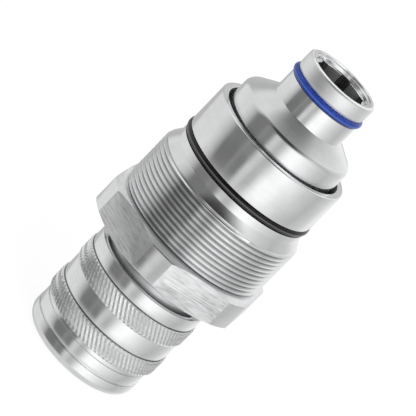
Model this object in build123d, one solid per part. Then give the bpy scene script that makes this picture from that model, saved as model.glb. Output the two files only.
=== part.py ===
from build123d import *
import math
import os

# Flat-face hydraulic quick coupler, female cartridge for a valve block.
# Z is the common axis of all turned pieces. The flat front face, where the plug enters, lies at Z = 0,
# and the nose that goes into the block points up. All lengths are in millimetres.

# Clearances
running_gap = 0.05
seat_gap = 0.1
seal_gap = 0.03

# Locking sleeve, outside, from the front face up
sleeve_end_radius = 18.35
sleeve_end_length = 4.5
sleeve_end_lip_width = 1.7
sleeve_end_bend_width = 0.75
sleeve_end_bend_height = 0.45
sleeve_end_taper_height = 1.9
sleeve_end_lip_round = 1.8
sleeve_end_round = 2.5
sleeve_groove_width = 0.5
sleeve_groove_depth = 0.5
front_land_radius = 18.25
front_land_length = 3.4
relief_width = 1.5
relief_radius = 17.65
knurl_radius = 19.25
knurl_chamfer = 0.45
front_knurl_length = 6.1
middle_land_length = 6.1
middle_land_radius = 18.7
rear_knurl_length = 6.2
rear_band_length = 4.2
rear_band_radius = 18.75
rear_band_chamfer = 0.25

# Locking sleeve, inside
release_radius = 16.5
lock_land_length = 4.9
ramp_angle = 45.0
sleeve_travel = 4.0
sleeve_end_gap = 1.0

# Front body
cage_radius = 15.2
collar_z = 25.0
collar_length = 5.0
collar_radius = 17.32
neck_radius = 16.0
bore_radius = 12.3
bore_lead = 0.6
chamber_z = 14.0
chamber_radius = 13.3
guide_seat_z = 31.0
guide_radius = 13.75

# Locking balls and their holes, which narrow towards the bore
ball_count = 8
ball_radius = 2.0
ball_z = 8.2
ball_lock_depth = 1.0

# Retaining rings
sleeve_ring_z = 4.2
sleeve_ring_width = 1.0
sleeve_ring_depth = 0.7
sleeve_ring_opening = 24.0
gland_ring_z = 39.1
gland_ring_width = 1.5
gland_ring_depth = 1.0
gland_ring_radius = 18.0
gland_ring_opening = 40.0

# Gland nut, from the hexagon up to the rim of its cup
hex_across_flats = 50.0
hex_corner_radius = 27.0
hex_height = 10.7
hex_top_radius = 24.9
hex_top_chamfer = 1.2
hex_foot_radius = 24.4
hex_foot_chamfer = 1.6
hex_foot_bore_radius = 18.6
thread_relief_width = 0.8
thread_relief_radius = 22.9
thread_radius = 24.0
thread_length = 15.1
thread_lead = 0.6
cone_height = 3.3
pilot_radius = 21.85
pilot_length = 17.7
rim_chamfer_height = 0.5
rim_chamfer_width = 0.2
cup_radius = 19.75
cup_depth = 10.7
gland_o_ring_section = 2.3
gland_o_ring_proud = 0.4
gland_o_ring_z = 71.2

# Rear body, from its shoulder in the cup up to the end of the nose
body_radius = 18.65
body_stand_out = 5.8
shoulder_round = 1.2
dome_height = 4.45
nose_radius = 11.6
nose_length = 13.65
nose_chamfer = 0.9
nose_o_ring_section = 2.0
nose_o_ring_proud = 0.6
nose_o_ring_from_end = 6.15
mouth_radius = 10.0
mouth_depth = 0.6
mouth_step_radius = 9.2
mouth_step_depth = 1.0
socket_across_flats = 15.2
socket_drill_radius = 7.95
socket_depth = 9.5
flow_radius = 7.0
flow_cone_height = 3.0
spigot_bore_radius = 10.4
spigot_bore_depth = 9.0
joint_seal_offset = 1.5
joint_seal_width = 2.2
joint_seal_depth = 1.6

# Seal on the plug's nose
plug_seal_z = 11.3
plug_seal_width = 1.9
plug_seal_depth = 1.5

# Dust ring
face_recess = 0.2
ring_flange_length = 2.9

# Valve sleeve and its guide
valve_outer_radius = 9.2
valve_bore_radius = 7.6
valve_lip_radius = 6.65
valve_lip_length = 4.0
valve_flange_radius = 10.5
valve_flange_length = 3.0
guide_land_length = 4.1
guide_seal_offset = 1.2
guide_seal_width = 1.8
guide_seal_depth = 1.3
guide_length = 25.0

# Stem, its seal, support and nut
stem_head_radius = 6.6
stem_head_length = 4.0
stem_cone_length = 3.6
stem_radius = 3.0
stem_seal_offset = 1.2
stem_seal_width = 1.4
stem_seal_depth = 1.1
stem_screw_radius = 2.5
stem_screw_stand_out = 1.0
support_length = 5.0
hub_radius = 4.7
window_radius = 8.4
spoke_count = 4
spoke_width = 3.0
nut_across_flats = 8.0
nut_height = 4.0

# Springs, of square wire, and the washer that the sleeve turns on
sleeve_spring_wire = 1.2
sleeve_spring_turns = 3
ring_spring_wire = 1.1
ring_spring_turns = 3
valve_spring_wire = 1.5
valve_spring_turns = 4
thrust_washer_thickness = 1.0

# Places along the axis that follow from the lengths above
groove_end_z = sleeve_end_length + sleeve_groove_width
relief_z = groove_end_z + front_land_length
front_knurl_z = relief_z + relief_width
middle_land_z = front_knurl_z + front_knurl_length
rear_knurl_z = middle_land_z + middle_land_length
rear_band_z = rear_knurl_z + rear_knurl_length
sleeve_length = rear_band_z + rear_band_length
hex_z = sleeve_length + sleeve_travel + sleeve_end_gap
hex_top_z = hex_z + hex_height
thread_z = hex_top_z + thread_relief_width
cone_z = thread_z + thread_length
pilot_z = cone_z + cone_height
rim_z = pilot_z + pilot_length
cup_floor_z = rim_z - cup_depth
body_z = cup_floor_z + seat_gap
shoulder_z = rim_z + body_stand_out
nose_z = shoulder_z + dome_height
end_z = nose_z + nose_length
support_z = guide_seat_z + guide_length
spigot_z = support_z + support_length + seat_gap
ring_flange_z = chamber_z + seat_gap
ring_end_z = ring_flange_z + ring_flange_length
valve_flange_z = guide_seat_z + guide_land_length + seat_gap
valve_end_z = valve_flange_z + valve_flange_length

# Radii that follow from a fit
lock_radius = cage_radius + running_gap
spring_room_radius = collar_radius + running_gap
ball_circle_radius = bore_radius + ball_radius
gland_bore_radius = neck_radius + running_gap
guide_bore_radius = valve_flange_radius + running_gap
screw_hole_radius = stem_screw_radius + running_gap

# The sleeve's inner ramp leans on the balls, so its height follows from where it touches them
ramp_slope = math.radians(ramp_angle)
touch_radius = ball_circle_radius + ball_radius * math.cos(ramp_slope)
touch_z = ball_z + ball_radius * math.sin(ramp_slope) + running_gap
ramp_z = touch_z - (release_radius - touch_radius) * math.tan(ramp_slope)
lock_land_z = touch_z + (touch_radius - lock_radius) * math.tan(ramp_slope)
spring_room_z = lock_land_z + lock_land_length


def section(outline):
    """A flat half section from (radius, height) points."""
    return make_face(Polyline([(radius, 0, height) for radius, height in outline], close=True))


def turned(outline):
    """A turned piece, revolved about Z."""
    return revolve(section(outline), Axis.Z, 360)


def ring(inner_radius, outer_radius, low, high):
    """A plain ring with a rectangular section."""
    return turned([(inner_radius, low), (outer_radius, low), (outer_radius, high), (inner_radius, high)])


def split_ring(inner_radius, outer_radius, low, high, opening):
    """A retaining ring, open over an angle so that it can be spread over its shaft."""
    corners = [(inner_radius, low), (outer_radius, low), (outer_radius, high), (inner_radius, high)]
    return revolve(section(corners), Axis.Z, 360 - opening)


def o_ring(outer_radius, thickness, height):
    """A round-section ring by its outer radius, its thickness and the height of its middle."""
    return Pos(0, 0, height) * Torus(outer_radius - thickness / 2, thickness / 2)


def coil_spring(middle_radius, wire, turns, low, high):
    """A compression spring of square wire that fills the room between two flat seats."""
    rise = high - low - wire - 2 * seat_gap
    path = Helix(rise / turns, rise, middle_radius)
    start = Plane(origin=path @ 0, x_dir=(1, 0, 0), z_dir=path % 0)
    coil = sweep(start * Rectangle(wire, wire), path=path, is_frenet=True)
    return Pos(0, 0, low + seat_gap + wire / 2) * coil


def hex_prism(across_flats, low, high):
    """A hexagonal prism with two of its corners in the Y direction."""
    outline = RegularPolygon(across_flats / 2, 6, major_radius=False, rotation=90)
    return Pos(0, 0, low) * extrude(outline, high - low)


def circle_edges(piece, radius, height):
    """The round edges of a turned piece at one radius and one height."""
    return [
        edge
        for edge in piece.edges().filter_by(GeomType.CIRCLE)
        if abs(edge.radius - radius) < 1e-4 and abs(edge.arc_center.Z - height) < 1e-4
    ]


def grip_band(low, high):
    """The outline of a raised band with chamfered edges, which carries the knurl."""
    return [
        (knurl_radius - knurl_chamfer, low),
        (knurl_radius, low + knurl_chamfer),
        (knurl_radius, high - knurl_chamfer),
        (knurl_radius - knurl_chamfer, high),
    ]


def locking_sleeve():
    """The hand sleeve: two raised bands to grip, and inside a release room, a ramp and a lock land."""
    groove_radius = front_land_radius - sleeve_groove_depth
    bend_radius = sleeve_end_radius - sleeve_end_bend_width
    sleeve = turned(
        [
            (release_radius, 0),
            (sleeve_end_radius - sleeve_end_lip_width, 0),
            (bend_radius, sleeve_end_bend_height),
            (sleeve_end_radius, sleeve_end_taper_height),
            (sleeve_end_radius, sleeve_end_length),
            (groove_radius, sleeve_end_length),
            (groove_radius, groove_end_z),
            (front_land_radius, groove_end_z),
            (front_land_radius, relief_z),
            (relief_radius, relief_z),
            (relief_radius, front_knurl_z),
            *grip_band(front_knurl_z, middle_land_z),
            (middle_land_radius, middle_land_z),
            (middle_land_radius, rear_knurl_z),
            *grip_band(rear_knurl_z, rear_band_z),
            (rear_band_radius, rear_band_z),
            (rear_band_radius, sleeve_length),
            (spring_room_radius, sleeve_length),
            (spring_room_radius, spring_room_z),
            (lock_radius, spring_room_z),
            (lock_radius, lock_land_z),
            (release_radius, ramp_z),
        ]
    )
    sleeve = fillet(circle_edges(sleeve, sleeve_end_radius, sleeve_end_taper_height), sleeve_end_round)
    sleeve = fillet(circle_edges(sleeve, bend_radius, sleeve_end_bend_height), sleeve_end_lip_round)
    return chamfer(circle_edges(sleeve, rear_band_radius, sleeve_length), rear_band_chamfer)


def ball_hole():
    """A hole through the cage along X, narrowed where the ball would fall into the bore."""
    wide_radius = ball_radius + running_gap
    lip_radius = math.sqrt(ball_radius**2 - ball_lock_depth**2) + running_gap
    lip_end = bore_radius + ball_lock_depth
    lip_start = bore_radius - ball_lock_depth
    hole = section(
        [
            (0, lip_start),
            (2 * lip_radius - wide_radius, lip_start),
            (wide_radius, lip_end),
            (wide_radius, cage_radius + 1),
            (0, cage_radius + 1),
        ]
    )
    return Pos(0, 0, ball_z) * Rot(0, 90, 0) * revolve(hole, Axis.Z, 360)


def front_body():
    """The ball cage and neck, bored from both ends, with a collar that guides the sleeve."""
    collar_end_z = collar_z + collar_length
    sleeve_ring_floor = cage_radius - sleeve_ring_depth
    sleeve_ring_end_z = sleeve_ring_z + sleeve_ring_width + seat_gap
    gland_ring_floor = neck_radius - gland_ring_depth
    gland_ring_end_z = gland_ring_z + gland_ring_width + seat_gap
    plug_seal_end_z = plug_seal_z + plug_seal_width
    plug_seal_floor = bore_radius + plug_seal_depth
    body = turned(
        [
            (bore_radius + bore_lead, 0),
            (cage_radius, 0),
            (cage_radius, sleeve_ring_z),
            (sleeve_ring_floor, sleeve_ring_z),
            (sleeve_ring_floor, sleeve_ring_end_z),
            (cage_radius, sleeve_ring_end_z),
            (cage_radius, collar_z),
            (collar_radius, collar_z),
            (collar_radius, collar_end_z),
            (neck_radius, collar_end_z),
            (neck_radius, gland_ring_z),
            (gland_ring_floor, gland_ring_z),
            (gland_ring_floor, gland_ring_end_z),
            (neck_radius, gland_ring_end_z),
            (neck_radius, body_z),
            (guide_radius + running_gap, body_z),
            (guide_radius + running_gap, guide_seat_z),
            (chamber_radius, guide_seat_z),
            (chamber_radius, chamber_z),
            (bore_radius, chamber_z),
            (bore_radius, plug_seal_end_z),
            (plug_seal_floor, plug_seal_end_z),
            (plug_seal_floor, plug_seal_z),
            (bore_radius, plug_seal_z),
            (bore_radius, bore_lead),
        ]
    )
    return body - [place * ball_hole() for place in PolarLocations(0, ball_count)]


def locking_balls():
    """The ring of balls, loose in their holes and held outwards by the dust ring."""
    places = PolarLocations(ball_circle_radius, ball_count)
    return Compound([Pos(0, 0, ball_z) * place * Sphere(ball_radius) for place in places])


def sleeve_retaining_ring():
    """The snap ring on the cage that stops the sleeve when it springs forward over a plug."""
    low = sleeve_ring_z + seat_gap / 2
    inner = cage_radius - sleeve_ring_depth + running_gap
    return split_ring(inner, release_radius - 2 * seat_gap, low, low + sleeve_ring_width, sleeve_ring_opening)


def sleeve_thrust_washer():
    """The washer between the sleeve's lock land and its spring."""
    inner = cage_radius + 2 * running_gap
    outer = spring_room_radius - 2 * running_gap
    low = spring_room_z + seat_gap / 2
    return ring(inner, outer, low, low + thrust_washer_thickness)


def sleeve_spring():
    """The spring that pushes the sleeve forward from the front body's collar."""
    middle = (cage_radius + spring_room_radius) / 2
    low = spring_room_z + seat_gap / 2 + thrust_washer_thickness
    return coil_spring(middle, sleeve_spring_wire, sleeve_spring_turns, low, collar_z)


def gland_retaining_ring():
    """The ring in the neck's groove that keeps the gland off the sleeve."""
    low = gland_ring_z + seat_gap / 2
    inner = neck_radius - gland_ring_depth + running_gap
    return split_ring(inner, gland_ring_radius, low, low + gland_ring_width, gland_ring_opening)


def gland_nut():
    """The gland: hexagon, threaded length, cone and O-ring pilot, turned from one bar and bored."""
    foot_bore_end_z = gland_ring_z + gland_ring_width + 2 * seat_gap
    groove_width = gland_o_ring_section + seat_gap
    groove_z = gland_o_ring_z - groove_width / 2
    groove_radius = pilot_radius + gland_o_ring_proud - gland_o_ring_section - running_gap
    nut = turned(
        [
            (hex_foot_bore_radius, hex_z),
            (hex_foot_radius, hex_z),
            (hex_corner_radius, hex_z + hex_foot_chamfer),
            (hex_corner_radius, hex_top_z - hex_top_chamfer),
            (hex_top_radius, hex_top_z),
            (thread_relief_radius, hex_top_z),
            (thread_relief_radius, thread_z - thread_lead),
            (thread_radius, thread_z + thread_lead),
            (thread_radius, cone_z),
            (pilot_radius, pilot_z),
            (pilot_radius, groove_z),
            (groove_radius, groove_z),
            (groove_radius, groove_z + groove_width),
            (pilot_radius, groove_z + groove_width),
            (pilot_radius, rim_z - rim_chamfer_height),
            (pilot_radius - rim_chamfer_width, rim_z),
            (cup_radius, rim_z),
            (cup_radius, cup_floor_z),
            (gland_bore_radius, cup_floor_z),
            (gland_bore_radius, foot_bore_end_z),
            (hex_foot_bore_radius, foot_bore_end_z),
        ]
    )
    around = ring(hex_top_radius, hex_corner_radius + 1, hex_z, hex_top_z)
    return nut - (around - hex_prism(hex_across_flats, hex_z, hex_top_z))


def gland_o_ring():
    """The black O-ring on the gland's pilot."""
    return o_ring(pilot_radius + gland_o_ring_proud, gland_o_ring_section, gland_o_ring_z)


def rear_body():
    """The back of the body: threaded spigot, shoulder that the gland pulls on, cone and nose."""
    seal_z = spigot_z + joint_seal_offset
    seal_floor = guide_radius - joint_seal_depth
    o_ring_width = nose_o_ring_section + seat_gap
    o_ring_z = end_z - nose_o_ring_from_end - o_ring_width / 2
    o_ring_floor = nose_radius + nose_o_ring_proud - nose_o_ring_section - running_gap
    mouth_floor_z = end_z - mouth_depth
    socket_top_z = mouth_floor_z - mouth_step_depth
    socket_floor_z = socket_top_z - socket_depth
    bore_end_z = spigot_z + spigot_bore_depth
    body = turned(
        [
            (spigot_bore_radius, spigot_z),
            (guide_radius, spigot_z),
            (guide_radius, seal_z),
            (seal_floor, seal_z),
            (seal_floor, seal_z + joint_seal_width),
            (guide_radius, seal_z + joint_seal_width),
            (guide_radius, body_z),
            (body_radius, body_z),
            (body_radius, shoulder_z),
            (nose_radius, nose_z),
            (nose_radius, o_ring_z),
            (o_ring_floor, o_ring_z),
            (o_ring_floor, o_ring_z + o_ring_width),
            (nose_radius, o_ring_z + o_ring_width),
            (nose_radius, end_z),
            (mouth_radius, end_z),
            (mouth_radius, mouth_floor_z),
            (mouth_step_radius, mouth_floor_z),
            (mouth_step_radius, socket_top_z),
            (socket_drill_radius, socket_top_z),
            (socket_drill_radius, socket_floor_z),
            (flow_radius, socket_floor_z),
            (flow_radius, bore_end_z + flow_cone_height),
            (spigot_bore_radius, bore_end_z),
        ]
    )
    body = fillet(circle_edges(body, body_radius, shoulder_z), shoulder_round)
    body = chamfer(circle_edges(body, nose_radius, end_z), nose_chamfer)
    return body - hex_prism(socket_across_flats, socket_floor_z, socket_top_z)


def nose_o_ring():
    """The blue O-ring near the end of the nose."""
    return o_ring(nose_radius + nose_o_ring_proud, nose_o_ring_section, end_z - nose_o_ring_from_end)


def body_joint_seal():
    """The seal between the rear body's spigot and the front body."""
    low = spigot_z + joint_seal_offset + seat_gap
    high = spigot_z + joint_seal_offset + joint_seal_width - seat_gap
    return ring(guide_radius - joint_seal_depth + seal_gap, guide_radius + running_gap - seal_gap, low, high)


def plug_seal():
    """The seal in the bore that grips the plug's nose, here lying on the dust ring."""
    low = plug_seal_z + seat_gap
    high = plug_seal_z + plug_seal_width - seat_gap
    return ring(bore_radius - running_gap + seal_gap, bore_radius + plug_seal_depth - seal_gap, low, high)


def dust_ring():
    """The sprung ring that fills the bore around the valve and holds the balls outwards."""
    bore = valve_outer_radius + 2 * running_gap
    return turned(
        [
            (bore, face_recess),
            (bore_radius - running_gap, face_recess),
            (bore_radius - running_gap, ring_flange_z),
            (chamber_radius - running_gap, ring_flange_z),
            (chamber_radius - running_gap, ring_end_z),
            (bore, ring_end_z),
        ]
    )


def dust_ring_spring():
    """The spring between the dust ring's flange and the valve guide."""
    middle = (valve_outer_radius + chamber_radius) / 2
    return coil_spring(middle, ring_spring_wire, ring_spring_turns, ring_end_z, guide_seat_z)


def valve_sleeve():
    """The sliding valve: its lip closes on the stem's head and its flange runs in the guide."""
    lip_z = face_recess + valve_lip_length
    return turned(
        [
            (valve_lip_radius, face_recess),
            (valve_outer_radius, face_recess),
            (valve_outer_radius, valve_flange_z),
            (valve_flange_radius, valve_flange_z),
            (valve_flange_radius, valve_end_z),
            (valve_bore_radius, valve_end_z),
            (valve_bore_radius, lip_z + valve_bore_radius - valve_lip_radius),
            (valve_lip_radius, lip_z),
        ]
    )


def valve_guide():
    """The bushing that the valve sleeve runs in, with a seal groove in its front land."""
    land_radius = valve_outer_radius + running_gap
    land_end_z = guide_seat_z + guide_land_length
    seal_z = guide_seat_z + guide_seal_offset
    return turned(
        [
            (land_radius, guide_seat_z),
            (guide_radius, guide_seat_z),
            (guide_radius, support_z),
            (guide_bore_radius, support_z),
            (guide_bore_radius, land_end_z),
            (land_radius, land_end_z),
            (land_radius, seal_z + guide_seal_width),
            (land_radius + guide_seal_depth, seal_z + guide_seal_width),
            (land_radius + guide_seal_depth, seal_z),
            (land_radius, seal_z),
        ]
    )


def valve_sleeve_seal():
    """The seal in the valve guide's land, around the valve sleeve."""
    low = guide_seat_z + guide_seal_offset + seat_gap
    high = guide_seat_z + guide_seal_offset + guide_seal_width - seat_gap
    outer = valve_outer_radius + running_gap + guide_seal_depth - seal_gap
    return ring(valve_outer_radius + seal_gap, outer, low, high)


def valve_spring():
    """The spring between the valve sleeve's flange and the stem support."""
    middle = (window_radius + guide_bore_radius) / 2
    return coil_spring(middle, valve_spring_wire, valve_spring_turns, valve_end_z, support_z)


def valve_stem():
    """The fixed stem: flat head with a seal groove, cone, shaft and screwed end."""
    head_end_z = face_recess + stem_head_length
    seal_z = face_recess + stem_seal_offset
    seal_floor = stem_head_radius - stem_seal_depth
    screw_end_z = support_z + support_length + nut_height + stem_screw_stand_out
    return turned(
        [
            (0, face_recess),
            (stem_head_radius, face_recess),
            (stem_head_radius, seal_z),
            (seal_floor, seal_z),
            (seal_floor, seal_z + stem_seal_width),
            (stem_head_radius, seal_z + stem_seal_width),
            (stem_head_radius, head_end_z),
            (stem_radius, head_end_z + stem_cone_length),
            (stem_radius, support_z),
            (stem_screw_radius, support_z),
            (stem_screw_radius, screw_end_z),
            (0, screw_end_z),
        ]
    )


def stem_seal():
    """The seal in the stem's head that the valve sleeve closes on."""
    low = face_recess + stem_seal_offset + seal_gap
    high = face_recess + stem_seal_offset + stem_seal_width - seal_gap
    inner = stem_head_radius - stem_seal_depth + seal_gap
    return ring(inner, valve_lip_radius - seal_gap, low, high)


def stem_support():
    """The hub that carries the stem, held by spokes between its flow windows."""
    support_end_z = support_z + support_length
    disc = ring(screw_hole_radius, guide_radius, support_z, support_end_z)
    windows = ring(hub_radius, window_radius, support_z, support_end_z)
    spoke = Box(
        window_radius + 1, spoke_width, support_length, align=(Align.MIN, Align.CENTER, Align.MIN)
    )
    spokes = [Pos(0, 0, support_z) * place * spoke for place in PolarLocations(0, spoke_count)]
    return disc - (windows - spokes)


def stem_nut():
    """The nut on the stem's screwed end."""
    nut_z = support_z + support_length
    hexagon = hex_prism(nut_across_flats, nut_z, nut_z + nut_height)
    return hexagon - ring(0, screw_hole_radius, nut_z, nut_z + nut_height)


pieces = [
    locking_sleeve,
    front_body,
    locking_balls,
    sleeve_retaining_ring,
    sleeve_thrust_washer,
    sleeve_spring,
    gland_retaining_ring,
    gland_nut,
    gland_o_ring,
    rear_body,
    nose_o_ring,
    body_joint_seal,
    plug_seal,
    dust_ring,
    dust_ring_spring,
    valve_sleeve,
    valve_guide,
    valve_sleeve_seal,
    valve_spring,
    valve_stem,
    stem_seal,
    stem_support,
    stem_nut,
]

os.makedirs("parts", exist_ok=True)
for piece in pieces:
    export_step(piece(), f"parts/{piece.__name__}.step")
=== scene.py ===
import math

import bmesh
import bpy
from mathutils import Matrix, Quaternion, Vector


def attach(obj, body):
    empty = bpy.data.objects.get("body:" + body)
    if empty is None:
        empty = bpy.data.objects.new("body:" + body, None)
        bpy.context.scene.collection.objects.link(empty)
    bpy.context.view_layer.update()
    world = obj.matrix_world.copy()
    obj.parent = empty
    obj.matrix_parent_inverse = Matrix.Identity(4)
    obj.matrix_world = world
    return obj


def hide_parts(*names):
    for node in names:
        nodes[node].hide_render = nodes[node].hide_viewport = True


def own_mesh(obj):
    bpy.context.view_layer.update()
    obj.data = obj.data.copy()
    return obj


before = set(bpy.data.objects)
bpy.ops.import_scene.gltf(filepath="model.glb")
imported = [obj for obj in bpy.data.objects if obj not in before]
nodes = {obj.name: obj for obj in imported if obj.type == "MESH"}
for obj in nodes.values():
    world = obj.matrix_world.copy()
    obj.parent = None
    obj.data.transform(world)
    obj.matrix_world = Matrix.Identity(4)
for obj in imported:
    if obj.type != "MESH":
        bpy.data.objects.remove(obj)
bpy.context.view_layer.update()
mm = 0.001


# Rear body. Turned from plated steel bar: a screwed spigot inside the gland, a shoulder that the gland
# pulls on, a cone, and the nose with its O-ring groove. The hexagon socket in its mouth is broached
# and its six corners are drilled out first.
def open_mesh(piece, mode="VERT"):
    """Makes one piece the only selected one and opens its mesh with nothing selected."""
    bpy.ops.object.select_all(action="DESELECT")
    piece.select_set(True)
    bpy.context.view_layer.objects.active = piece
    bpy.ops.object.mode_set(mode="EDIT")
    bpy.ops.mesh.select_mode(type=mode)
    bpy.ops.mesh.select_all(action="DESELECT")


def select_where(piece, kind, test):
    """Selects, in edit mode, only the vertices, edges or faces that pass a test."""
    bpy.ops.mesh.select_mode(type={"verts": "VERT", "edges": "EDGE", "faces": "FACE"}[kind])
    bpy.ops.mesh.select_all(action="DESELECT")
    mesh = bmesh.from_edit_mesh(piece.data)
    for element in getattr(mesh, kind):
        if test(element):
            element.select_set(True)
    mesh.select_flush_mode()
    bmesh.update_edit_mesh(piece.data)


def close_mesh():
    """Leaves edit mode."""
    bpy.ops.object.mode_set(mode="OBJECT")


def draw_outline(name, outline):
    """Draws a closed outline of (radius, height) points in mm: a plane merged to one point and extruded."""
    bpy.ops.object.select_all(action="DESELECT")
    bpy.ops.mesh.primitive_plane_add(size=mm)
    piece = bpy.context.object
    piece.name = name
    open_mesh(piece)
    bpy.ops.mesh.select_all(action="SELECT")
    bpy.ops.mesh.merge(type="CENTER")
    here = (0, 0)
    for index, point in enumerate(outline):
        step = ((point[0] - here[0]) * mm, 0, (point[1] - here[1]) * mm)
        if index == 0:
            bpy.ops.transform.translate(value=step)
        else:
            bpy.ops.mesh.extrude_region_move(TRANSFORM_OT_translate={"value": step})
        here = point
    select_where(piece, "verts", lambda vertex: len(vertex.link_edges) == 1)
    bpy.ops.mesh.edge_face_add()
    return piece


def turn_on_lathe(name, outline, edge_round, rounds=(), steps=192):
    """Rounds the corners of an outline and spins it about Z into a turned piece.
    Each entry of rounds is (radius, height, size) for a corner with a round of its own."""
    piece = draw_outline(name, outline)
    sizes = {(radius, height): size for radius, height, size in rounds}
    for corner in outline:
        size = sizes.get(corner, edge_round)
        place = (corner[0] * mm, corner[1] * mm)
        select_where(piece, "verts", lambda vertex: math.dist((vertex.co.x, vertex.co.z), place) < 1e-6)
        bpy.ops.mesh.bevel(offset=size * mm, segments=2 if size == edge_round else 6, affect="VERTICES")
    bpy.ops.mesh.select_all(action="SELECT")
    bpy.ops.mesh.spin(steps=steps, angle=math.tau, center=(0, 0, 0), axis=(0, 0, 1))
    bpy.ops.mesh.select_all(action="SELECT")
    bpy.ops.mesh.remove_doubles(threshold=1e-6)
    bpy.ops.mesh.normals_make_consistent(inside=False)
    close_mesh()
    return piece


def add_hexagon(name, across_flats, low, high):
    """A hexagonal prism with two corners on the Y axis."""
    bpy.ops.object.select_all(action="DESELECT")
    bpy.ops.mesh.primitive_cylinder_add(
        vertices=6,
        radius=across_flats / math.sqrt(3) * mm,
        depth=(high - low) * mm,
        location=(0, 0, (low + high) / 2 * mm),
    )
    prism = bpy.context.object
    prism.name = name
    bpy.ops.object.transform_apply(location=True)
    return prism


def apply_boolean(piece, tool, operation):
    """Cuts, joins or intersects a piece with a tool, which is used up."""
    modifier = piece.modifiers.new("boolean", "BOOLEAN")
    modifier.operation = operation
    modifier.solver = "EXACT"
    modifier.object = tool
    bpy.ops.object.select_all(action="DESELECT")
    piece.select_set(True)
    bpy.context.view_layer.objects.active = piece
    bpy.ops.object.modifier_apply(modifier=modifier.name)
    bpy.data.objects.remove(tool)


def finish_shading(piece, angle=28):
    """Merges what a cut left double and shades all but the real edges smooth."""
    open_mesh(piece)
    bpy.ops.mesh.select_all(action="SELECT")
    bpy.ops.mesh.remove_doubles(threshold=1e-6)
    close_mesh()
    bpy.ops.object.shade_smooth_by_angle(angle=math.radians(angle))


def new_group(name, inputs, outputs):
    """An empty node group with named sockets, and its two end nodes."""
    group = bpy.data.node_groups.new(name, "ShaderNodeTree")
    for label, kind, value in inputs:
        group.interface.new_socket(label, in_out="INPUT", socket_type=kind).default_value = value
    for label, kind in outputs:
        group.interface.new_socket(label, in_out="OUTPUT", socket_type=kind)
    return group, group.nodes.new("NodeGroupInput"), group.nodes.new("NodeGroupOutput")


def add_node(tree, kind, values=(), **settings):
    """Adds a node, sets what it has, and links or sets its inputs by name or number."""
    node = tree.nodes.new("ShaderNode" + kind)
    for label, value in settings.items():
        setattr(node, label, value)
    for label, value in dict(values).items():
        if isinstance(value, bpy.types.NodeSocket):
            tree.links.new(value, node.inputs[label])
        else:
            node.inputs[label].default_value = value
    return node


def fill_ramp(node, stops):
    """Sets a colour ramp from (place, grey or colour) pairs."""
    elements = node.color_ramp.elements
    while len(elements) < len(stops):
        elements.new(0.5)
    for element, (place, shade) in zip(elements, stops):
        element.position = place
        element.color = (shade, shade, shade, 1) if isinstance(shade, float) else (*shade, 1)


def distance_from_axis(tree, place):
    """The distance of a point from Z, for patterns that follow a turned piece."""
    flat = add_node(tree, "VectorMath", {0: place.outputs["Object"], 1: (1, 1, 0)}, operation="MULTIPLY")
    radius = add_node(tree, "VectorMath", {0: flat.outputs["Vector"]}, operation="LENGTH")
    return radius.outputs["Value"]


# Turning marks: rings that follow the tool's feed, along the axis on round faces and outwards on flat ones.
marks, given, result = new_group(
    "turning_marks",
    [("Per Metre", "NodeSocketFloat", 1600.0), ("Depth", "NodeSocketFloat", 0.000004)],
    [("Fine", "NodeSocketFloat"), ("Broad", "NodeSocketFloat"), ("Normal", "NodeSocketVector")],
)
place = add_node(marks, "TexCoord")
split = add_node(marks, "SeparateXYZ", {0: place.outputs["Object"]})
feed = add_node(
    marks, "Math", {0: distance_from_axis(marks, place), 1: 1.7, 2: split.outputs["Z"]}, operation="MULTIPLY_ADD"
)
fine = add_node(
    marks,
    "TexNoise",
    {"W": feed.outputs[0], "Scale": given.outputs["Per Metre"], "Detail": 3.0, "Roughness": 0.7},
    noise_dimensions="1D",
)
wide = add_node(marks, "Math", {0: given.outputs["Per Metre"], 1: 0.09}, operation="MULTIPLY")
broad = add_node(
    marks, "TexNoise", {"W": feed.outputs[0], "Scale": wide.outputs[0], "Detail": 2.0}, noise_dimensions="1D"
)
relief = add_node(
    marks, "Bump", {"Height": fine.outputs["Fac"], "Distance": given.outputs["Depth"], "Strength": 1.0}
)
marks.links.new(fine.outputs["Fac"], result.inputs["Fine"])
marks.links.new(broad.outputs["Fac"], result.inputs["Broad"])
marks.links.new(relief.outputs["Normal"], result.inputs["Normal"])

# Plating haze: soft clouds left by the bath and by handling, and small specks.
haze, given, result = new_group(
    "plating_haze",
    [("Per Metre", "NodeSocketFloat", 130.0)],
    [("Cloud", "NodeSocketFloat"), ("Specks", "NodeSocketFloat")],
)
place = add_node(haze, "TexCoord")
cloud = add_node(
    haze,
    "TexNoise",
    {"Vector": place.outputs["Object"], "Scale": given.outputs["Per Metre"], "Detail": 4.0, "Roughness": 0.6},
)
small = add_node(haze, "Math", {0: given.outputs["Per Metre"], 1: 14.0}, operation="MULTIPLY")
grain = add_node(
    haze, "TexNoise", {"Vector": place.outputs["Object"], "Scale": small.outputs[0], "Detail": 2.0}
)
specks = add_node(
    haze, "MapRange", {"Value": grain.outputs["Fac"], "From Min": 0.62, "From Max": 0.78}, clamp=True
)
haze.links.new(cloud.outputs["Fac"], result.inputs["Cloud"])
haze.links.new(specks.outputs["Result"], result.inputs["Specks"])


def place_group(tree, group, **values):
    """Places an effect in a material with its own values."""
    node = tree.nodes.new("ShaderNodeGroup")
    node.node_tree = group
    for label, value in values.items():
        node.inputs[label.replace("_", " ")].default_value = value
    return node


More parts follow.
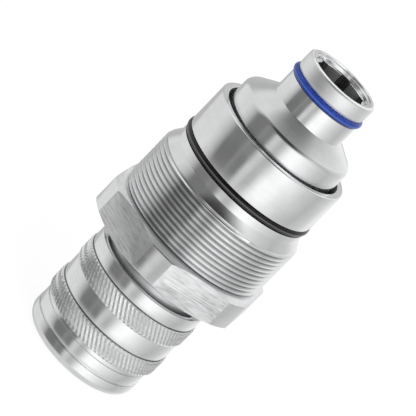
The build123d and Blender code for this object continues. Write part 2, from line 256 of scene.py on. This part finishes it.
# Groove shade: painted shade in the floor of a thread or a knurl, by distance from the axis.
painted_groove_shade, given, result = new_group(
    "groove_shade",
    [("Floor", "NodeSocketFloat", 0.0231), ("Crest", "NodeSocketFloat", 0.0239)],
    [("Shade", "NodeSocketFloat")],
)
place = add_node(painted_groove_shade, "TexCoord")
level = add_node(
    painted_groove_shade,
    "MapRange",
    {
        "Value": distance_from_axis(painted_groove_shade, place),
        "From Min": given.outputs["Floor"],
        "From Max": given.outputs["Crest"],
        "To Min": 1.0,
        "To Max": 0.0,
    },
    interpolation_type="SMOOTHSTEP",
)
painted_groove_shade.links.new(level.outputs["Result"], result.inputs["Shade"])


def turned_metal(name, dark, light, smooth, rough, per_metre, depth, grooves=None, shade_share=0.4):
    """A turned metal: rings and clouds move its colour and its roughness between two values. Where grooves gives
    two radii in mm, the colour at the first is darkened as painted shade, to the share given by the last argument."""
    metal = bpy.data.materials.new(name)
    metal.use_nodes = True
    tree = metal.node_tree
    shader = tree.nodes["Principled BSDF"]
    rings = place_group(tree, marks, Per_Metre=per_metre, Depth=depth)
    clouds = place_group(tree, haze, Per_Metre=130.0)
    both = add_node(
        tree, "Math", {0: rings.outputs["Fine"], 1: 0.35, 2: clouds.outputs["Cloud"]}, operation="MULTIPLY_ADD"
    )
    shade = add_node(tree, "ValToRGB", {0: both.outputs[0]})
    fill_ramp(shade, [(0.4, dark), (0.9, light)])
    wear_and_highlight = add_node(
        tree, "Math", {0: clouds.outputs["Specks"], 1: 0.3, 2: rings.outputs["Broad"]}, operation="MULTIPLY_ADD"
    )
    gloss = add_node(
        tree,
        "MapRange",
        {"Value": wear_and_highlight.outputs[0], "From Min": 0.3, "From Max": 0.9, "To Min": smooth, "To Max": rough},
    )
    colour = shade.outputs["Color"]
    if grooves:
        floor = place_group(tree, painted_groove_shade, Floor=grooves[0] * mm, Crest=grooves[1] * mm)
        left = add_node(tree, "MapRange", {"Value": floor.outputs["Shade"], "To Min": 1.0, "To Max": shade_share})
        groove_shaded = add_node(
            tree, "Mix", {0: 1.0, 6: colour, 7: left.outputs["Result"]}, data_type="RGBA", blend_type="MULTIPLY"
        )
        colour = groove_shaded.outputs[2]
    tree.links.new(colour, shader.inputs["Base Color"])
    tree.links.new(gloss.outputs["Result"], shader.inputs["Roughness"])
    tree.links.new(rings.outputs["Normal"], shader.inputs["Normal"])
    shader.inputs["Metallic"].default_value = 1
    return metal


def paint_faces(piece, material, test):
    """Adds a material to a piece and gives it to the faces that pass a test."""
    piece.data.materials.append(material)
    open_mesh(piece, "FACE")
    select_where(piece, "faces", test)
    piece.active_material_index = len(piece.data.materials) - 1
    bpy.ops.object.material_slot_assign()
    close_mesh()


plated_steel = turned_metal("plated_steel", (0.75, 0.755, 0.76), (0.87, 0.875, 0.88), 0.10, 0.22, 1600.0, 3e-6)
# The socket and the bores below it get a far darker steel, as painted shade for their depth.
socket_painted_shade_steel = turned_metal("socket_painted_shade_steel", (0.13, 0.13, 0.132), (0.30, 0.30, 0.305), 0.30, 0.46, 900.0, 8e-6)

rear_body = turn_on_lathe(
    "rear_body_turned",
    [
        (10.4, 61.1), (13.75, 61.1), (13.75, 62.6), (12.15, 62.6), (12.15, 64.8), (13.75, 64.8),
        (13.75, 74.5), (18.65, 74.5), (18.65, 90.9), (11.6, 95.35), (11.6, 101.8), (10.15, 101.8),
        (10.15, 103.9), (11.3, 103.9), (11.6, 104.8), (11.6, 109.0), (10.0, 109.0), (10.0, 108.4), (9.2, 108.4),
        (9.2, 107.4), (7.95, 107.4), (7.95, 97.9), (7.0, 97.9), (7.0, 73.1), (10.4, 70.1),
    ],
    edge_round=0.12,
    rounds=[(18.65, 90.9, 1.1), (11.6, 109.0, 0.9)],
)
socket_flats = 15.2
corner_drill = 0.5
corner_reach = 8.55
corner_depth = 9.5
corner_middle = 102.75
apply_boolean(rear_body, add_hexagon("socket_broach", socket_flats, 97.9, 107.4), "DIFFERENCE")
for corner in range(6):
    angle = math.radians(30 + 60 * corner)
    bpy.ops.mesh.primitive_cylinder_add(
        vertices=24,
        radius=corner_drill * mm,
        depth=corner_depth * mm,
        location=(corner_reach * math.cos(angle) * mm, corner_reach * math.sin(angle) * mm, corner_middle * mm),
    )
    drill = bpy.context.object
    bpy.ops.object.transform_apply(location=True)
    apply_boolean(rear_body, drill, "DIFFERENCE")
finish_shading(rear_body)
paint_faces(rear_body, plated_steel, lambda face: True)


def in_socket(face):
    """True for the socket's own faces and for the bores below it, but not for the stepped mouth."""
    middle = face.calc_center_median() / mm
    return middle.xy.length < 9.15 and middle.z < 107.35 and middle.z > 69


paint_faces(rear_body, socket_painted_shade_steel, in_socket)


def on_nose_band(face):
    """True for the nose from its O-ring groove to its rounded end."""
    middle = face.calc_center_median() / mm
    return middle.z > 103.95 and middle.xy.length > 10.75


satin_steel = turned_metal("satin_steel", (0.76, 0.765, 0.77), (0.92, 0.925, 0.93), 0.42, 0.58, 1100.0, 6e-6)
paint_faces(rear_body, satin_steel, on_nose_band)
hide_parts("rear_body")
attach(rear_body, "cartridge")


# Locking sleeve. Turned and plated, with two diamond-knurled bands for the hand, a narrow groove near the
# front and a bright end ring. The knurl is rolled in: deep grooves lean one way, and a finer and shallower
# set leans the other way and notches the ridges between them.
knurl_ridges = 84
knurl_row = 2.3
knurl_foot = 18.84
knurl_notch = 18.95
knurl_crest = 19.25
knurl_trim = 0.25
knurl_chamfer = 0.4


def knurl_phase(vertex, low):
    """Counts grooves passed along each of the two leans, from the foot of the band up."""
    across = math.atan2(vertex.co.y, vertex.co.x) * knurl_ridges / math.tau
    along = (vertex.co.z / mm - low) / knurl_row
    return (across + along) % 1, (2 * (across - along)) % 1


def roll_knurl(name, low, high):
    """A tube whose squares are poked into a net of diamonds. Edges that lean one way are split, which halves
    the diamonds, and then the others, whose middles are the ridges and are scaled out from the axis. A ring
    with chamfered ends, a trim wider than the crests, then cuts the band to length."""
    rows = math.ceil((high - low) / knurl_row) + 1
    bottom = (low + high) / 2 - rows * knurl_row / 2
    bpy.ops.object.select_all(action="DESELECT")
    bpy.ops.mesh.primitive_cylinder_add(
        vertices=knurl_ridges,
        radius=knurl_foot * mm,
        depth=rows * knurl_row * mm,
        end_fill_type="NOTHING",
        location=(0, 0, (low + high) / 2 * mm),
    )
    teeth = bpy.context.object
    teeth.name = name
    bpy.ops.object.transform_apply(location=True)
    open_mesh(teeth)
    for row in range(1, rows):
        bpy.ops.mesh.select_all(action="SELECT")
        bpy.ops.mesh.bisect(plane_co=(0, 0, (bottom + row * knurl_row) * mm), plane_no=(0, 0, 1))
    bpy.ops.mesh.select_all(action="SELECT")
    bpy.ops.mesh.poke()

    def lean(edge):
        """Above zero for edges that rise to the right seen from outside, below it for the others."""
        first, second = (vertex.co for vertex in edge.verts)
        rise = second.z - first.z
        right = first.x * second.y - first.y * second.x
        if abs(rise) < 1e-6 or math.dist(first.xy, second.xy) < 1e-6:
            return 0
        return math.copysign(1, rise * right)

    select_where(teeth, "edges", lambda edge: lean(edge) == 0 and len(edge.link_faces) == 2)
    bpy.ops.mesh.dissolve_edges(use_verts=False)
    select_where(teeth, "edges", lambda edge: lean(edge) < 0)
    bpy.ops.mesh.subdivide(number_cuts=1)
    select_where(teeth, "edges", lambda edge: lean(edge) > 0)
    bpy.ops.mesh.subdivide(number_cuts=1)

    def on_ridge(vertex):
        return abs(knurl_phase(vertex, bottom)[0] - 0.5) < 0.1

    select_where(teeth, "edges", lambda edge: all(on_ridge(vertex) for vertex in edge.verts))
    bpy.ops.mesh.subdivide(number_cuts=1)
    for radius, phase in ((knurl_notch, 0), (knurl_crest, 0.5)):
        select_where(
            teeth,
            "verts",
            lambda vertex: on_ridge(vertex) and abs((knurl_phase(vertex, bottom)[1] - phase + 0.5) % 1 - 0.5) < 0.1,
        )
        grow = radius / knurl_foot
        bpy.ops.transform.resize(value=(grow, grow, 1), center_override=(0, 0, 0))
    select_where(teeth, "edges", lambda edge: edge.is_boundary)
    bpy.ops.mesh.edge_face_add()
    bpy.ops.mesh.select_all(action="SELECT")
    bpy.ops.mesh.normals_make_consistent(inside=False)
    close_mesh()
    outer = knurl_crest + knurl_trim
    bevel = knurl_chamfer + knurl_trim
    ring = turn_on_lathe(
        name + "_ring",
        [
            (18.2, low), (outer - bevel, low), (outer, low + bevel), (outer, high - bevel),
            (outer - bevel, high), (18.2, high),
        ],
        edge_round=0.02,
    )
    apply_boolean(ring, teeth, "INTERSECT")
    return ring


sleeve = turn_on_lathe(
    "locking_sleeve_knurled",
    [
        (16.5, 0), (16.65, 0), (17.6, 0.45), (18.35, 1.9), (18.35, 4.5), (17.75, 4.5), (17.75, 5.0),
        (18.25, 5.0), (18.25, 8.4), (17.65, 8.4), (17.65, 9.9), (18.4, 9.9), (18.4, 16.1), (18.7, 16.1),
        (18.7, 22.1), (18.4, 22.1), (18.4, 28.35), (18.75, 28.35), (18.75, 32.5), (17.37, 32.5),
        (17.37, 15.03), (15.25, 15.03), (15.25, 10.13), (16.5, 8.88),
    ],
    edge_round=0.1,
    rounds=[(16.65, 0, 0.05), (17.6, 0.45, 0.6), (18.35, 1.9, 0.55), (18.75, 32.5, 0.25)],
)
apply_boolean(sleeve, roll_knurl("knurl_front", 10.05, 15.75), "UNION")
apply_boolean(sleeve, roll_knurl("knurl_rear", 22.1, 28.0), "UNION")
finish_shading(sleeve)
paint_faces(sleeve, plated_steel, lambda face: True)
# The floors of the knurl's grooves are darkened as painted shade.
knurled_steel = turned_metal(
    "knurled_steel",
    (0.90, 0.905, 0.91),
    (0.98, 0.985, 0.99),
    0.34,
    0.48,
    1600.0,
    2e-6,
    grooves=(knurl_foot, 19.02),
    shade_share=0.74,
)


def on_knurl(face):
    """True for the faces that the knurling wheels pressed."""
    middle = face.calc_center_median() / mm
    inside_band = 9.95 < middle.z < 15.8 or 22.15 < middle.z < 28.05
    return inside_band and middle.xy.length > 18.7


def in_knurl_recess(face):
    """True for the narrow grooves that the knurl runs out into."""
    middle = face.calc_center_median() / mm
    inside_band = 15.7 < middle.z < 16.1 or 27.95 < middle.z < 28.35
    return inside_band and 18 < middle.xy.length < 18.78


paint_faces(sleeve, knurled_steel, on_knurl)
# The knurl's narrow run-out grooves get a darker steel, as painted shade.
runout_painted_shade_steel = turned_metal("runout_painted_shade_steel", (0.36, 0.36, 0.365), (0.52, 0.52, 0.525), 0.3, 0.45, 1200.0, 4e-6)
paint_faces(sleeve, runout_painted_shade_steel, in_knurl_recess)
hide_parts("locking_sleeve")
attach(sleeve, "sleeve")


# Gland nut. Hexagon, fine thread, cone and O-ring pilot turned from one bar, with a deep cup round the
# rear body. The thread is cut as a helix of 1.5 mm pitch that runs out in the relief under the hexagon.
across_flats = 50
flat_break = 0.13
thread_pitch = 1.5
thread_crest = 24.0
thread_root = 23.08
flank_angle = math.radians(30)
cutter_overlap = 0.08

gland = turn_on_lathe(
    "gland_nut_threaded",
    [
        (18.6, 37.5), (24.4, 37.5), (27.0, 38.95), (27.0, 47.2), (24.9, 48.2), (22.9, 48.2),
        (22.9, 48.3), (24.0, 48.9), (24.0, 64.1), (21.85, 67.4), (21.85, 70.0), (19.9, 70.0),
        (19.9, 72.4), (21.85, 72.4), (21.85, 84.8), (21.6, 85.1), (19.75, 85.1), (19.75, 74.4),
        (16.05, 74.4), (16.05, 40.8), (18.6, 40.8),
    ],
    edge_round=0.1,
    rounds=[(21.6, 85.1, 0.15), (27.0, 47.2, 0.3)],
)


def cut_flats(piece, low, high):
    """Mills six flats with a cutter that is a thick-walled hexagonal tube."""
    cutter = add_hexagon("flats_cutter", across_flats, low, high)
    open_mesh(cutter)
    select_where(cutter, "faces", lambda face: abs(face.normal.z) > 0.5)
    bpy.ops.mesh.delete(type="FACE")
    close_mesh()
    wall = cutter.modifiers.new("wall", "SOLIDIFY")
    wall.thickness = 5 * mm
    wall.offset = 1
    wall.use_even_offset = True
    bpy.ops.object.modifier_apply(modifier=wall.name)
    apply_boolean(piece, cutter, "DIFFERENCE")


def cut_thread(piece, low, high, start):
    """Cuts a V groove that winds up the piece: the groove's section is screwed about Z into a long tool.
    start is the angle in degrees at which the groove begins."""
    root_half = thread_pitch / 16
    reach = thread_crest - thread_root + cutter_overlap
    top_half = root_half + reach * math.tan(flank_angle)
    section = [
        (thread_root, low - root_half), (thread_root + reach, low - top_half),
        (thread_root + reach, low + top_half), (thread_root, low + root_half),
    ]
    tool = draw_outline("thread_cutter", section)
    close_mesh()
    screw = tool.modifiers.new("screw", "SCREW")
    screw.screw_offset = thread_pitch * mm
    screw.iterations = round((high - low) / thread_pitch)
    screw.steps = 128
    screw.render_steps = 128
    bpy.ops.object.modifier_apply(modifier=screw.name)
    open_mesh(tool)
    select_where(tool, "edges", lambda edge: edge.is_boundary)
    bpy.ops.mesh.fill_holes(sides=4)
    bpy.ops.mesh.select_all(action="SELECT")
    bpy.ops.mesh.normals_make_consistent(inside=False)
    close_mesh()
    tool.rotation_euler.z = math.radians(start)
    bpy.ops.object.transform_apply(rotation=True)
    apply_boolean(piece, tool, "DIFFERENCE")


cut_flats(gland, low=37.0, high=48.15)
cut_thread(gland, low=48.9, high=66.9, start=96)


def on_flat(face):
    """True for the six milled flats."""
    middle = face.calc_center_median() / mm
    outward = face.normal.x * middle.x + face.normal.y * middle.y
    return abs(face.normal.z) < 0.05 and 37.5 < middle.z < 48.2 and abs(outward - across_flats / 2) < 0.02


# The cuts leave sharp edges round the flats, which are broken with a small bevel. Each flat is then split
# into a fan round its middle, because its shade would otherwise depend on the order of its corners, which
# the cuts don't leave the same in each run.
open_mesh(gland)
bpy.ops.mesh.select_all(action="SELECT")
bpy.ops.mesh.remove_doubles(threshold=1e-6)
select_where(gland, "edges", lambda edge: sum(on_flat(face) for face in edge.link_faces) == 1)
bpy.ops.mesh.bevel(offset=flat_break * mm, segments=2, affect="EDGES", clamp_overlap=True)
select_where(gland, "faces", on_flat)
bpy.ops.mesh.poke()
close_mesh()
finish_shading(gland)

# The hexagon's flats are milled across, so they have a grain of level scratches and shine less.
milled_steel = bpy.data.materials.new("milled_steel")
milled_steel.use_nodes = True
tree = milled_steel.node_tree
shader = tree.nodes["Principled BSDF"]
place = add_node(tree, "TexCoord")
drawn = add_node(
    tree, "VectorMath", {0: place.outputs["Object"], 1: (230, 230, 3200)}, operation="MULTIPLY"
)
scratch = add_node(
    tree,
    "TexNoise",
    {"Vector": drawn.outputs["Vector"], "Scale": 1.0, "Detail": 3.0, "Roughness": 0.65, "Distortion": 0.3},
)
clouds = place_group(tree, haze, Per_Metre=90.0)
both = add_node(
    tree, "Math", {0: clouds.outputs["Cloud"], 1: 0.5, 2: scratch.outputs["Fac"]}, operation="MULTIPLY_ADD"
)
shade = add_node(tree, "ValToRGB", {0: both.outputs[0]})
fill_ramp(shade, [(0.50, (0.42, 0.425, 0.43)), (0.75, (0.73, 0.735, 0.74)), (1.0, (0.93, 0.935, 0.94))])
gloss = add_node(
    tree, "MapRange", {"Value": both.outputs[0], "From Min": 0.4, "From Max": 1.0, "To Min": 0.40, "To Max": 0.26}
)
relief = add_node(tree, "Bump", {"Height": scratch.outputs["Fac"], "Distance": 0.00003, "Strength": 1.0})
tree.links.new(shade.outputs["Color"], shader.inputs["Base Color"])
tree.links.new(gloss.outputs["Result"], shader.inputs["Roughness"])
tree.links.new(relief.outputs["Normal"], shader.inputs["Normal"])
shader.inputs["Metallic"].default_value = 1
paint_faces(gland, plated_steel, lambda face: True)
# The roots of the thread are darkened as painted shade.
threaded_steel = turned_metal(
    "threaded_steel",
    (0.74, 0.745, 0.75),
    (0.88, 0.885, 0.89),
    0.12,
    0.24,
    1600.0,
    2e-6,
    grooves=(23.0, 23.7),
    shade_share=0.5,
)


def on_thread(face):
    """True for the crests and flanks of the thread and for the relief under it."""
    middle = face.calc_center_median() / mm
    return 48.3 < middle.z < 64.3 and 22.95 < middle.xy.length < 24.1


paint_faces(gland, threaded_steel, on_thread)


def in_thread_recess(face):
    """True for the floor of the recess between the hexagon and the thread."""
    middle = face.calc_center_median() / mm
    return 48.2 < middle.z < 48.5 and middle.xy.length < 23.1 and middle.xy.length > 20


# The floor of the recess gets a far darker steel, as painted shade.
thread_recess_painted_shade_steel = turned_metal("thread_recess_painted_shade_steel", (0.10, 0.10, 0.105), (0.22, 0.22, 0.225), 0.3, 0.45, 1200.0, 4e-6)
paint_faces(gland, thread_recess_painted_shade_steel, in_thread_recess)


def in_cup(face):
    """True for the wall and the floor of the cup, which get a darker steel as painted shade."""
    middle = face.calc_center_median() / mm
    return 74.3 < middle.z < 84.9 and middle.xy.length < 19.8


cup_painted_shade_steel = turned_metal("cup_painted_shade_steel", (0.30, 0.30, 0.305), (0.45, 0.45, 0.455), 0.50, 0.62, 1200.0, 4e-6)
paint_faces(gland, cup_painted_shade_steel, in_cup)


def on_hexagon_top(face):
    """True for the hexagon's top and the turned chamfer on its corners."""
    middle = face.calc_center_median() / mm
    return face.normal.z > 0.89 and 47.1 < middle.z < 48.25 and middle.xy.length > 23


paint_faces(gland, satin_steel, on_hexagon_top)
paint_faces(gland, milled_steel, on_flat)
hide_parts("gland_nut")
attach(gland, "gland")


# O-rings. The black one seals the gland's pilot in the block, the blue one the nose. Both are moulded rubber, so
# they have a skin with a soft sheen and a fine parting line round the outside, along which a pale painted highlight
# runs.
skin, given, result = new_group(
    "rubber_skin",
    [("Per Metre", "NodeSocketFloat", 900.0), ("Outer", "NodeSocketFloat", 0.0224)],
    [("Dust", "NodeSocketFloat"), ("Highlight Line", "NodeSocketFloat"), ("Normal", "NodeSocketVector")],
)
place = add_node(skin, "TexCoord")
under = add_node(
    skin, "Math", {0: given.outputs["Outer"], 1: distance_from_axis(skin, place)}, operation="SUBTRACT"
)
# A pale band where the parting line runs, a painted highlight.
parting_and_highlight = add_node(
    skin,
    "MapRange",
    {"Value": under.outputs[0], "From Min": 0.00001, "From Max": 0.00005, "To Min": 1.0, "To Max": 0.0},
    interpolation_type="SMOOTHSTEP",
)
skin.links.new(parting_and_highlight.outputs["Result"], result.inputs["Highlight Line"])
dust = add_node(
    skin,
    "TexNoise",
    {"Vector": place.outputs["Object"], "Scale": given.outputs["Per Metre"], "Detail": 4.0, "Roughness": 0.6},
)
relief = add_node(skin, "Bump", {"Height": dust.outputs["Fac"], "Distance": 0.00001, "Strength": 0.6})
skin.links.new(dust.outputs["Fac"], result.inputs["Dust"])
skin.links.new(relief.outputs["Normal"], result.inputs["Normal"])


def mould_rubber(name, dark, light, wear_and_highlight, smooth, rough, outer):
    """A rubber whose colour and sheen vary over its skin, with a paler painted highlight along its parting line."""
    rubber = bpy.data.materials.new(name)
    rubber.use_nodes = True
    tree = rubber.node_tree
    shader = tree.nodes["Principled BSDF"]
    cover = place_group(tree, skin, Per_Metre=900.0, Outer=outer * mm)
    shade = add_node(tree, "ValToRGB", {0: cover.outputs["Dust"]})
    fill_ramp(shade, [(0.35, dark), (0.7, light)])
    gloss = add_node(
        tree,
        "MapRange",
        {"Value": cover.outputs["Dust"], "From Min": 0.35, "From Max": 0.7, "To Min": smooth, "To Max": rough},
    )
    line = add_node(
        tree,
        "Mix",
        {0: cover.outputs["Highlight Line"], 6: shade.outputs["Color"], 7: (*wear_and_highlight, 1)},
        data_type="RGBA",
    )
    tree.links.new(line.outputs[2], shader.inputs["Base Color"])
    tree.links.new(gloss.outputs["Result"], shader.inputs["Roughness"])
    tree.links.new(cover.outputs["Normal"], shader.inputs["Normal"])
    shader.inputs["Specular IOR Level"].default_value = 0.25
    return rubber


def mould_o_ring(name, outer, section, height, material):
    """A round-section ring with its parting line pinched out a little, both above and below."""
    bpy.ops.object.select_all(action="DESELECT")
    bpy.ops.mesh.primitive_torus_add(
        major_segments=160,
        minor_segments=24,
        major_radius=(outer - section / 2) * mm,
        minor_radius=section / 2 * mm,
        location=(0, 0, height * mm),
    )
    piece = bpy.context.object
    piece.name = name
    bpy.ops.object.transform_apply(location=True)
    open_mesh(piece)
    parting_and_highlight = (outer - 0.03) * mm
    select_where(piece, "verts", lambda vertex: vertex.co.xy.length > parting_and_highlight)
    bpy.ops.mesh.bevel(offset=0.06 * mm, segments=1, affect="EDGES")
    close_mesh()
    bpy.ops.object.shade_smooth_by_angle(angle=math.radians(40))
    piece.data.materials.append(material)
    return piece


gland_ring_outer = 22.25
nose_ring_outer = 12.2
black_rubber = mould_rubber(
    "black_rubber", (0.004, 0.004, 0.005), (0.012, 0.012, 0.013), (0.10, 0.10, 0.105), 0.16, 0.30, gland_ring_outer
)
blue_rubber = mould_rubber(
    "blue_rubber", (0.012, 0.035, 0.24), (0.028, 0.065, 0.36), (0.06, 0.12, 0.42), 0.18, 0.32, nose_ring_outer
)
black_ring = mould_o_ring("gland_o_ring_moulded", gland_ring_outer, 2.3, 71.2, black_rubber)
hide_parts("gland_o_ring")
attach(black_ring, "gland")
blue_ring = mould_o_ring("nose_o_ring_moulded", nose_ring_outer, 2.0, 102.85, blue_rubber)
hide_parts("nose_o_ring")
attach(blue_ring, "cartridge")


def refinish(piece, material):
    """Gives a whole piece one material in place of what it came with."""
    piece.data.materials.clear()
    piece.data.materials.append(material)


for name in ("body_joint_seal", "plug_seal", "valve_sleeve_seal", "stem_seal"):
    refinish(nodes[name], black_rubber)


# Inside. The front body with its ball cage is plated, with a duller skin than the outside. The valve, the
# dust ring and the stem are plain turned steel, the balls are ground, and the rings are drawn strip.
plain_steel = turned_metal("plain_steel", (0.50, 0.50, 0.505), (0.70, 0.70, 0.71), 0.16, 0.34, 1300.0, 6e-6)
ground_steel = turned_metal("ground_steel", (0.62, 0.63, 0.64), (0.80, 0.81, 0.82), 0.05, 0.12, 3000.0, 1e-6)
drawn_steel = turned_metal("drawn_steel", (0.20, 0.20, 0.21), (0.42, 0.42, 0.44), 0.22, 0.42, 2200.0, 5e-6)
neck_steel = turned_metal("plated_neck_steel", (0.64, 0.645, 0.65), (0.80, 0.805, 0.81), 0.30, 0.44, 1600.0, 3e-6)
finishes = {
    "front_body": neck_steel,
    "locking_balls": ground_steel,
    "sleeve_thrust_washer": plain_steel,
    "dust_ring": plain_steel,
    "valve_sleeve": plain_steel,
    "valve_guide": plain_steel,
    "valve_stem": plain_steel,
    "stem_support": plain_steel,
    "stem_nut": plain_steel,
    "sleeve_retaining_ring": drawn_steel,
    "gland_retaining_ring": drawn_steel,
}
for name, finish in finishes.items():
    refinish(nodes[name], finish)


# Springs. Coils of drawn square wire that stay with the cartridge, one end on its shoulder. Each row holds the
# joint, the shoulder's height and the stroke.
springs = {
    "sleeve_spring": ("sleeve_pull", 25.0, 4.0),
    "dust_ring_spring": ("dust_ring_push", 31.0, 9.5),
    "valve_spring": ("valve_push", 56.0, 9.5),
}
for name, (joint, shoulder, stroke) in springs.items():
    coil = bpy.data.objects.new(name + "_coil", nodes[name].data.copy())
    bpy.context.scene.collection.objects.link(coil)
    refinish(coil, drawn_steel)
    finish_shading(coil)
    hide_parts(name)
    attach(coil, "cartridge")
    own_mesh(coil)


# Studio. A pale floor, white all round, and a light tent that only reflections see. Grey screens round the
# tent draw the streaks along the turned steel, and round panels over the part shade or light its cones.
# The floor lets reflections through, so that the tent goes on below it, and can't be seen from below.
camera_turn = 3.4
camera_rise = math.radians(19)
camera_distance = 0.7526
camera_target = 0.0525
sensor_width = 36
focal_pixels = 2750
picture_pixels = 416
axis_lean = math.radians(45.5)
target_pixel = (203.52, 221.93)
tent_radius = 2.5
floor_radius = 2.4
floor_height = -0.0002

world = bpy.data.worlds.new("white_room")
bpy.context.scene.world = world
world.use_nodes = True
tree = world.node_tree
tree.nodes.clear()
path = add_node(tree, "LightPath")
seen = add_node(
    tree, "Math", {0: path.outputs["Is Camera Ray"], 1: path.outputs["Is Glossy Ray"]}, operation="MAXIMUM"
)
seen = add_node(tree, "Math", {0: seen.outputs[0], 1: path.outputs["Is Transmission Ray"]}, operation="MAXIMUM")
strength = add_node(tree, "MapRange", {"Value": seen.outputs[0], "To Min": 0.8, "To Max": 1.0})
white = add_node(tree, "Background", {"Color": (1, 1, 1, 1), "Strength": strength.outputs["Result"]})
add_node(tree, "OutputWorld", {"Surface": white.outputs[0]})

bpy.ops.object.select_all(action="DESELECT")
bpy.ops.mesh.primitive_uv_sphere_add(segments=64, ring_count=32, radius=tent_radius)
tent = bpy.context.object
tent.name = "light_tent"
tent.visible_camera = False
tent.visible_diffuse = False
tent.visible_shadow = False
tent.visible_transmission = False
cloth = bpy.data.materials.new("tent_cloth")
cloth.use_nodes = True
tree = cloth.node_tree
tree.nodes.clear()
place = add_node(tree, "TexCoord")
toward = add_node(tree, "VectorMath", {0: place.outputs["Object"]}, operation="NORMALIZE")
parts = add_node(tree, "SeparateXYZ", {0: toward.outputs["Vector"]})
back = add_node(tree, "Math", {0: parts.outputs["Y"], 1: -1.0}, operation="MULTIPLY")
bearing = add_node(tree, "Math", {0: parts.outputs["X"], 1: back.outputs[0]}, operation="ARCTAN2")
turn = add_node(tree, "MapRange", {"Value": bearing.outputs[0], "From Min": -math.pi, "From Max": math.pi})
around = add_node(tree, "ValToRGB", {0: turn.outputs["Result"]})
# Bearing from the camera in degrees, to its right, and brightness.
screens = [
    (-180, 0.60), (-156, 0.52), (-146, 0.52), (-136, 0.80), (-90, 0.80), (-76, 0.64), (-67, 0.44), (-61, 0.20),
    (-38, 0.20), (-33, 0.29), (-28, 0.23), (-19, 0.22), (-12, 0.70), (-6, 0.68), (0, 0.50), (7, 0.54),
    (14, 0.86), (22, 1.15), (38, 1.2), (60, 0.92), (80, 0.70), (104, 0.54), (132, 0.72), (150, 0.90),
    (168, 0.95), (180, 0.60),
]
fill_ramp(around, [(min(1.0, max(0.0, (at + camera_turn) / 360 + 0.5)), level) for at, level in screens])
shade = around.outputs["Color"]
# Rise in degrees from behind the part, the cosines at which a panel's edge fades in, and brightness.
panels = [(115, 0.70, 0.93, 0.22), (120, 0.90, 0.966, 0.05), (55, 0.86, 0.94, 1.45)]
for rise, outer, inner, level in panels:
    middle = Vector((0, math.cos(math.radians(rise)), math.sin(math.radians(rise))))
    near = add_node(tree, "VectorMath", {0: toward.outputs["Vector"], 1: middle}, operation="DOT_PRODUCT")
    patch = add_node(
        tree,
        "MapRange",
        {"Value": near.outputs["Value"], "From Min": outer, "From Max": inner},
        interpolation_type="SMOOTHSTEP",
    )
    hung = add_node(
        tree, "Mix", {0: patch.outputs["Result"], 6: shade, 7: (level, level, level, 1)}, data_type="RGBA"
    )
    shade = hung.outputs[2]
depth = add_node(
    tree,
    "MapRange",
    {"Value": parts.outputs["Z"], "From Min": -0.5, "From Max": -0.8, "To Min": 0.0, "To Max": 1.0},
    interpolation_type="SMOOTHSTEP",
)
low = add_node(
    tree, "Mix", {0: depth.outputs["Result"], 6: shade, 7: (0.72, 0.72, 0.72, 1)}, data_type="RGBA"
)
glow = add_node(tree, "Emission", {"Color": low.outputs[2]})
add_node(tree, "OutputMaterial", {"Surface": glow.outputs[0]})
cloth.cycles.emission_sampling = "NONE"
tent.data.materials.append(cloth)

bpy.ops.object.select_all(action="DESELECT")
bpy.ops.mesh.primitive_circle_add(vertices=96, radius=floor_radius, fill_type="NGON", location=(0, 0, floor_height))
floor = bpy.context.object
floor.name = "floor"
paint = bpy.data.materials.new("pale_floor")
paint.use_nodes = True
tree = paint.node_tree
tree.nodes.clear()
matt = add_node(tree, "BsdfDiffuse", {"Color": (0.12, 0.12, 0.12, 1)})
glow = add_node(tree, "Emission", {"Color": (0.9, 0.9, 0.9, 1)})
both = add_node(tree, "AddShader", {0: matt.outputs[0], 1: glow.outputs[0]})
clear = add_node(tree, "BsdfTransparent")
path = add_node(tree, "LightPath")
face = add_node(tree, "NewGeometry")
see_through = add_node(
    tree, "Math", {0: path.outputs["Is Glossy Ray"], 1: face.outputs["Backfacing"]}, operation="MAXIMUM"
)
choose = add_node(tree, "MixShader", {0: see_through.outputs[0], 1: both.outputs[0], 2: clear.outputs[0]})
add_node(tree, "OutputMaterial", {"Surface": choose.outputs[0]})
floor.data.materials.append(paint)

bpy.ops.object.light_add(type="SUN", rotation=(math.radians(40), 0, math.radians(28 + camera_turn)))
lamp = bpy.context.object
lamp.name = "softbox"
lamp.data.energy = 1.0
lamp.data.angle = math.radians(30)
lamp.visible_glossy = False

lens = bpy.data.cameras.new("camera")
camera = bpy.data.objects.new("camera", lens)
bpy.context.scene.collection.objects.link(camera)
bpy.context.scene.camera = camera
lens.sensor_width = sensor_width
lens.lens = sensor_width * focal_pixels / picture_pixels
lens.shift_x = (picture_pixels / 2 - target_pixel[0]) / picture_pixels
lens.shift_y = (target_pixel[1] - picture_pixels / 2) / picture_pixels
side = math.radians(camera_turn)
outward = math.cos(camera_rise)
toward = Vector((outward * math.sin(side), -outward * math.cos(side), math.sin(camera_rise)))
upright = toward.to_track_quat("Z", "Y")
roll = math.pi / 2 - axis_lean
camera.rotation_mode = "QUATERNION"
camera.rotation_quaternion = upright @ Quaternion((0, 0, 1), roll)
camera.location = Vector((0, 0, camera_target)) + toward * camera_distance

bpy.context.scene.view_settings.view_transform = "Standard"
